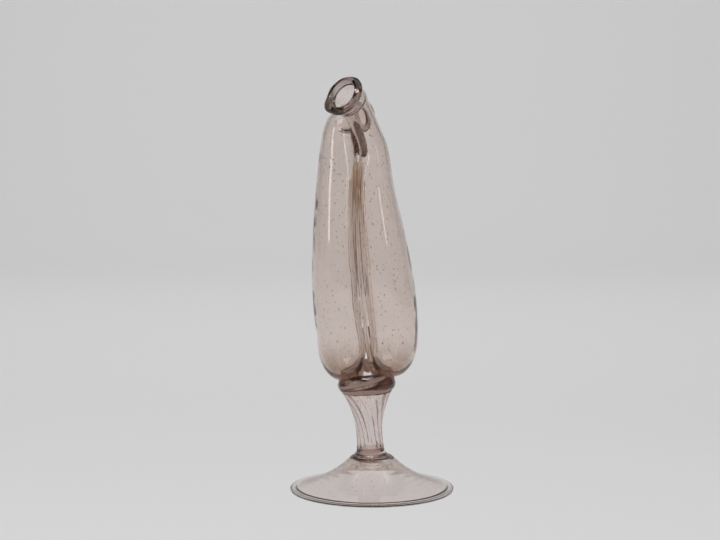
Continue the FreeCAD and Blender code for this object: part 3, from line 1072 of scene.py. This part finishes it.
@dataclass
class Stem:
    """Hollow waisted stem, mould-ribbed and given a slight twist."""

    height: float = 35.5
    waist_height: float = 9.5
    waist_radius: float = 7.4
    curve: float = 52.0
    wall: float = 1.6
    ribs: int = 13
    rib_depth: float = 0.34
    twist: float = 0.9
    floor: float = 2.4
    around: int = 208
    rows: int = 70

    def radius(self, depth: float, height: float) -> float:
        """Radius of a wall at a height over the stem's base."""
        reach = self.curve + depth
        return (self.waist_radius + self.curve
                - math.sqrt(reach ** 2 - (height - self.waist_height) ** 2))

    def ring(self, depth: float, height: float, ribs: float) -> Ring:
        """One ribbed ring.

        Args:
            depth: how far inside the outer wall.
            height: height over the base.
            ribs: depth of the ribs there.

        Returns:
            The ring in the cruet's frame.
        """
        plain = self.radius(depth, height)
        turn = self.twist * (height / self.height) ** 1.5
        ring = []
        for index in range(self.around):
            angle = 2 * math.pi * index / self.around
            wave = math.cos(self.ribs * (angle + turn))
            spot = Vector((math.cos(angle), math.sin(angle), height * 0.08)) * 10
            size = plain - ribs * (0.5 - 0.5 * wave) + 0.12 * wander(spot, 6.0, depth + 3)
            ring.append(LEAN.put(Vector(
                (size * math.cos(angle), size * math.sin(angle), height))))
        return ring

    def build(self) -> bpy.types.Object:
        """Draw the stem as a blind tube that opens into the collar."""
        shell = Shell("stem_glass")
        low = 0.55
        outer = []
        inner = []
        for row in range(self.rows):
            share = row / (self.rows - 1)
            height = low + (self.height - 0.02 - low) * share
            ease = math.sin(math.pi * min(1.0, 0.12 + share)) ** 0.5 if share < 0.88 else (
                max(0.0, (1 - share) / 0.12))
            outer.append(self.ring(0.0, height, self.rib_depth * 0.5 * ease))
        for row in range(self.rows):
            share = row / (self.rows - 1)
            height = self.floor + (self.height - 0.02 - self.floor) * share
            ease = min(1.0, share * 8, (1 - share) * 8 + 0.1)
            depth = self.wall + 0.9 * max(0.0, 1 - share * 9) ** 2
            inner.append(self.ring(depth, height, self.rib_depth * 2.2 * ease))
        outside = shell.skin(outer)
        inside = shell.skin(inner, inward=True)
        shell.cap(outside[0], LEAN.put(Vector((0, 0, low))), upward=False)
        shell.cap(inside[0], LEAN.put(Vector((0, 0, self.floor - 0.5))), upward=True)
        shell.band(outside[-1], inside[-1])
        return shell.piece(("stem",), Batch.STEM)


@dataclass
class Collar:
    """Pad of solid glass that the vessels were set into while hot."""

    stem: Stem
    left: Vessel
    right: Vessel
    radius: float = 16.2
    height: float = 11.5
    bend: float = 5.0
    web: float = 7.0
    web_reach: float = 13.5
    lap_depth: float = 0.9
    lap_width: float = 0.9
    lap_line: float = 0.52
    lap_rise: float = 0.30
    around: int = 180
    gap: float = 0.03

    def lap(self, angle: float, height: float) -> float:
        """Share of the slanting groove where the soft pad folded over itself.

        Args:
            angle: direction round the stem's axis.
            height: height over the stem's base.

        Returns:
            1 in the middle of the groove, fading to 0.
        """
        share = self.lap_line + self.lap_rise * math.cos(angle)
        line = self.stem.height + self.height * share
        front = max(0.0, -math.sin(angle)) ** 0.5
        return math.exp(-((height - line) / self.lap_width) ** 2) * front

    def outline(self) -> list[tuple[float, float]]:
        """Radius and height from the middle of the base to the middle of the top."""
        base = self.stem.height + self.gap
        top = base + self.height
        edge = self.stem.radius(0, self.stem.height)
        points = [(edge * share, base) for share in (0.2, 0.4, 0.6, 0.8, 0.95)]
        points += along_arc((edge, base), (self.radius, base + self.height / 2),
                            self.bend, -1, 10)
        points += along_arc((self.radius, base + self.height / 2),
                            (self.radius - self.height / 3, top), self.bend * 1.4, -1, 12)[1:]
        rim = self.radius - self.height / 3
        points += [(rim * (1 - step / 30), top) for step in range(1, 30)]
        return points

    def build(self) -> bpy.types.Object:
        """Shape the pad and press the vessels into it."""
        rings: list[Ring] = []
        for radius, height in self.outline():
            ring = []
            for index in range(self.around):
                angle = 2 * math.pi * index / self.around
                spot = Vector((math.cos(angle), math.sin(angle), height * 0.1)) * 10
                size = radius * (1 - 0.07 * abs(wander(spot, 8.0, 21.0)))
                size -= self.lap_depth * self.lap(angle, height) * radius / self.radius
                point = LEAN.put(Vector((size * math.cos(angle), size * math.sin(angle),
                                         height)))
                limit = min(self.left.cap_height(point.x, point.y),
                            self.right.cap_height(point.x, point.y)) - self.gap
                if height >= self.stem.height + self.gap + self.height:
                    point.z += self.web * max(0.0, 1 - (point.y / self.web_reach) ** 2)
                point.z = min(point.z, limit)
                ring.append(point)
            rings.append(ring)
        shell = Shell("collar_glass")
        numbers = shell.skin(rings)
        shell.cap(numbers[0], middle_of(rings[0]), upward=False)
        shell.cap(numbers[-1], middle_of(rings[-1]), upward=True)
        return shell.piece(("collar",), Batch.COLLAR)


@dataclass
class StemWeld:
    """Solid lens where the stem is stuck to the foot."""

    offset: float = -0.5
    top: float = 21.5
    top_radius: float = 8.8
    radius: float = 11.0
    flare: float = 2.0
    side: float = 1.8
    drop: float = 7.3
    curve: float = 9.0
    flat: float = 5.5
    around: int = 128

    def outline(self) -> list[tuple[float, float]]:
        """Radius and height from the middle of the underside to the top's middle."""
        points = [(self.flat * share, -self.drop) for share in (0.25, 0.5, 0.75)]
        points += along_arc((self.flat, -self.drop), (self.radius, -self.flare - self.side),
                            self.curve, -1, 12)
        points += [(self.radius, -self.flare - self.side * 0.5)]
        points += along_arc((self.radius, -self.flare), (self.top_radius, 0.0), 3.4, 1, 8)
        points += [(self.top_radius * share, 0.0) for share in (0.8, 0.6, 0.4, 0.2)]
        return points

    def build(self) -> bpy.types.Object:
        """Turn the lens."""
        shift = Vector((self.offset, 0, self.top))
        rings = [[point + shift for point in turned(radius, height, self.around)]
                 for radius, height in self.outline()]
        shell = Shell("stem_weld_glass")
        numbers = shell.skin(rings)
        shell.cap(numbers[0], shift + Vector((0, 0, -self.drop)), upward=False)
        shell.cap(numbers[-1], shift, upward=True)
        return shell.piece(("stem_weld",), Batch.LENS)


@dataclass
class Foot:
    """Spun cone with its edge folded under."""

    radius: float = 47.0
    edge: float = 1.0
    fold_width: float = 3.8
    fold_height: float = 2.0
    shoulder_radius: float = 12.5
    shoulder_height: float = 18.5
    curve: float = 65.0
    wall: float = 1.7
    hole: float = 11.05
    around: int = 240

    def outline(self) -> list[tuple[float, float]]:
        """Closed outline, from the hole outwards along the top and back below."""
        rim = self.radius - self.fold_width
        lift = ((self.shoulder_height - self.fold_height) / (rim - self.shoulder_radius)
                * 1.4 * (self.shoulder_radius - self.hole))
        crown = self.shoulder_height + lift
        points = [(self.hole, crown - 0.1)]
        points += along_arc((self.shoulder_radius, self.shoulder_height),
                            (rim, self.fold_height), self.curve, -1, 44)
        points += [(rim + 0.35, self.fold_height - 0.32), (rim + 0.8, self.fold_height - 0.38),
                   (rim + 2.0, self.fold_height - 0.5), (self.radius - 0.7, self.edge + 0.1)]
        points += along_arc((self.radius - 0.3, self.edge), (self.radius - 0.4, 0.05),
                            0.55, -1, 6)
        points += [(self.radius - 1.4, 0.0), (rim + 1.2, 0.0), (rim + 0.4, 0.1)]
        points += along_arc((rim - self.wall, self.fold_height - 0.9 * self.wall),
                            (self.shoulder_radius - 0.4 * self.wall,
                             self.shoulder_height - self.wall), self.curve + self.wall, 1, 44)
        points += [(self.hole, crown - 1.2 * self.wall)]
        return points

    def build(self) -> bpy.types.Object:
        """Spin the foot, a little out of true."""
        rings = []
        for radius, height in self.outline():
            ring = turned(radius, height, self.around)
            for point in ring:
                loose = min(1.0, height / 6)
                point.z += 0.25 * loose * wander(point, 26.0, 31.0)
                point.z += 0.025 * loose * math.sin(radius * 1.7 + wander(point, 30.0, 2.0))
            rings.append(ring)
        shell = Shell("foot_glass")
        shell.skin(rings[::-1], closed=True)
        return shell.piece(("foot",), Batch.FOOT)


@dataclass
class Lump:
    """Small solid lump of glass: a leaning ellipsoid about the middle of its node's box."""

    node: str
    batch: Batch
    seed: float
    squash: float = 0.96
    broad: float = 1.0
    slant: float = 0.0
    rough: float = 0.22
    around: int = 72
    rows: int = 40

    def build(self) -> bpy.types.Object:
        """Gather the lump about the middle of its node."""
        low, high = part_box(self.node)
        centre = (low + high) / 2 / MM
        half = (high - low) / 2 / MM * self.squash
        half.x *= self.broad
        lean = math.hypot(1 - self.slant, self.slant)
        rings = []
        for row in range(1, self.rows):
            tilt = -math.pi / 2 + math.pi * row / self.rows
            ring = []
            for index in range(self.around):
                angle = 2 * math.pi * index / self.around
                way = Vector((math.cos(tilt) * math.cos(angle),
                              math.cos(tilt) * math.sin(angle), math.sin(tilt)))
                size = 1 - self.rough * abs(wander(way * 10, 4.0, self.seed))
                across = (way.x * (1 - self.slant) - way.z * self.slant) / lean
                ring.append(centre + Vector((across * half.x, way.y * half.y,
                                             way.z * half.z)) * size)
            rings.append(ring)
        shell = Shell(f"{self.node}_glass")
        numbers = shell.skin(rings)
        tip = Vector((-self.slant / lean * half.x, 0, half.z)) * 0.97
        shell.cap(numbers[0], centre - tip, upward=False)
        shell.cap(numbers[-1], centre + tip, upward=True)
        return shell.piece((self.node,), self.batch)


# ------------------------------------------------------------------------ studio
@dataclass
class Studio:
    """Plain sweep, soft lights and the camera."""

    focal: float = 107.0
    eye: Vector = field(default_factory=lambda: Vector((-0.0068, -1.2, 0.277)))
    pitch: float = 7.16
    sweep_front: float = -1.6
    sweep_back: float = 1.8
    sweep_bend: float = 0.8
    sweep_half: float = 1.9
    sweep_top: float = 2.2

    def sweep(self) -> None:
        """Roll out the paper from the floor up the wall."""
        outline = [(self.sweep_front, 0.0)]
        outline += [(self.sweep_back - self.sweep_bend, 0.0)]
        for step in range(1, 25):
            angle = math.pi / 2 * step / 24
            outline.append((
                self.sweep_back - self.sweep_bend + self.sweep_bend * math.sin(angle),
                self.sweep_bend - self.sweep_bend * math.cos(angle)))
        outline.append((self.sweep_back, self.sweep_top))
        points = [(x, y, z) for y, z in outline for x in (-self.sweep_half, self.sweep_half)]
        faces = [(2 * row, 2 * row + 1, 2 * row + 3, 2 * row + 2)
                 for row in range(len(outline) - 1)]
        mesh = bpy.data.meshes.new("sweep")
        mesh.from_pydata(points, [], faces)
        mesh.polygons.foreach_set("use_smooth", [True] * len(mesh.polygons))
        mesh.materials.append(PaperFinish().material())
        made = bpy.data.objects.new("sweep", mesh)
        bpy.context.scene.collection.objects.link(made)

    def light(self, name: str, place: tuple[float, float, float],
              aim: tuple[float, float, float], size: tuple[float, float],
              power: float) -> None:
        """Hang one soft rectangular light.

        Args:
            name: the light's name.
            place: where it hangs.
            aim: the point that it faces.
            size: width and height.
            power: watts.
        """
        data = bpy.data.lights.new(name, "AREA")
        data.shape = "RECTANGLE"
        data.size, data.size_y = size
        data.energy = power
        made = bpy.data.objects.new(name, data)
        made.location = place
        way = Vector(aim) - Vector(place)
        made.rotation_euler = way.to_track_quat("-Z", "Y").to_euler()
        bpy.context.scene.collection.objects.link(made)

    def world(self, strength: float) -> None:
        """Fill the room with even light of one strength."""
        world = bpy.data.worlds.new("room")
        world.use_nodes = True
        tree = world.node_tree
        back = tree.nodes["Background"]
        back.inputs["Color"].default_value = (1.0, 1.0, 1.0, 1.0)
        back.inputs["Strength"].default_value = strength
        bpy.context.scene.world = world

    def camera(self) -> None:
        """Set the long-lens camera over the mouths, looking slightly down."""
        data = bpy.data.cameras.new("camera")
        data.lens = self.focal
        data.sensor_width = 36.0
        data.clip_end = 20.0
        made = bpy.data.objects.new("camera", data)
        made.location = self.eye
        made.rotation_euler = (math.radians(90 - self.pitch), 0, 0)
        bpy.context.scene.collection.objects.link(made)
        bpy.context.scene.camera = made

    def build(self) -> None:
        """Set up the whole studio."""
        self.sweep()
        self.world(0.16)
        self.light("overhead", (0.0, 0.1, 1.7), (0, 0.25, 0), (1.4, 1.2), 6.2)
        self.light("wall_wash", (0.0, -0.9, 1.9), (0, 1.4, 0.3), (1.4, 0.5), 25.0)
        self.light("window_left", (-1.1, -0.9, 0.75), (0, 0, 0.15), (0.30, 1.0), 3.4)
        self.light("window_right", (0.9, -1.3, 0.8), (0, 0, 0.15), (0.18, 0.8), 1.8)
        self.camera()
        scene = bpy.context.scene
        scene.view_settings.view_transform = "Standard"
        scene.cycles.max_bounces = 32
        scene.cycles.transmission_bounces = 32
        scene.cycles.transparent_max_bounces = 32
        scene.cycles.diffuse_bounces = 4
        scene.cycles.glossy_bounces = 12
        scene.cycles.sample_clamp_indirect = 4.0


# -------------------------------------------------------------------------- main
FRONT_NECK = Neck(
    root=Vector((1.1, -3.0, 190.0)), rise=8.0, root_radius=8.8, radius=7.0,
    mouth=Vector((-17.0, -16.0, 226.4)), azimuth=229.0, elevation=29.0, pull=4.0,
    bore=8.0, rim_radius=12.1, rim_height=4.8)
REAR_NECK = Neck(
    root=Vector((-18.36, 4.0, 201.0)), rise=10.5, root_radius=9.9, radius=7.0,
    mouth=Vector((-4.66, 22.0, 213.0)), azimuth=51.0, elevation=6.0, pull=6.0,
    bore=6.0, rim_radius=9.8, rim_height=5.0)


def main() -> None:
    """Build the cruet on its frame and light it."""
    logging.basicConfig(level=logging.INFO, format="%(name)s %(message)s")
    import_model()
    for batch in Batch:
        GLASS[batch] = batch.value.material()
    left = Vessel(Hand.LEFT, "rear", REAR_NECK, 63.2, (28.5, 28.1, 25.7, 22.8), seed=1.0)
    right = Vessel(Hand.RIGHT, "front", FRONT_NECK, 65.4, (28.4, 30.2, 27.3, 20.7), seed=8.0,
                   fold=0.8)
    stem = Stem()
    steps: list[Callable[[], object]] = [
        left.build,
        right.build,
        Rim("front", FRONT_NECK, seed=3.0, lap=1.9, lap_at=3.35, thin=1.5,
            thin_at=2.2).build,
        Rim("rear", REAR_NECK, seed=4.0).build,
        Seam("front", -1, left, right, seed=5.0, top=188.0).build,
        Seam("rear", 1, left, right, seed=6.0).build,
        Lump("neck_weld", Batch.WELD, seed=7.0, broad=1.25, slant=0.38,
             rough=0.55).build,
        stem.build,
        Collar(stem, left, right).build,
        StemWeld().build,
        Foot().build,
        Lump("pontil_mark", Batch.COLLAR, seed=9.0).build,
        Studio().build,
    ]
    for step in steps:
        step()


if __name__ == "__main__":
    main()
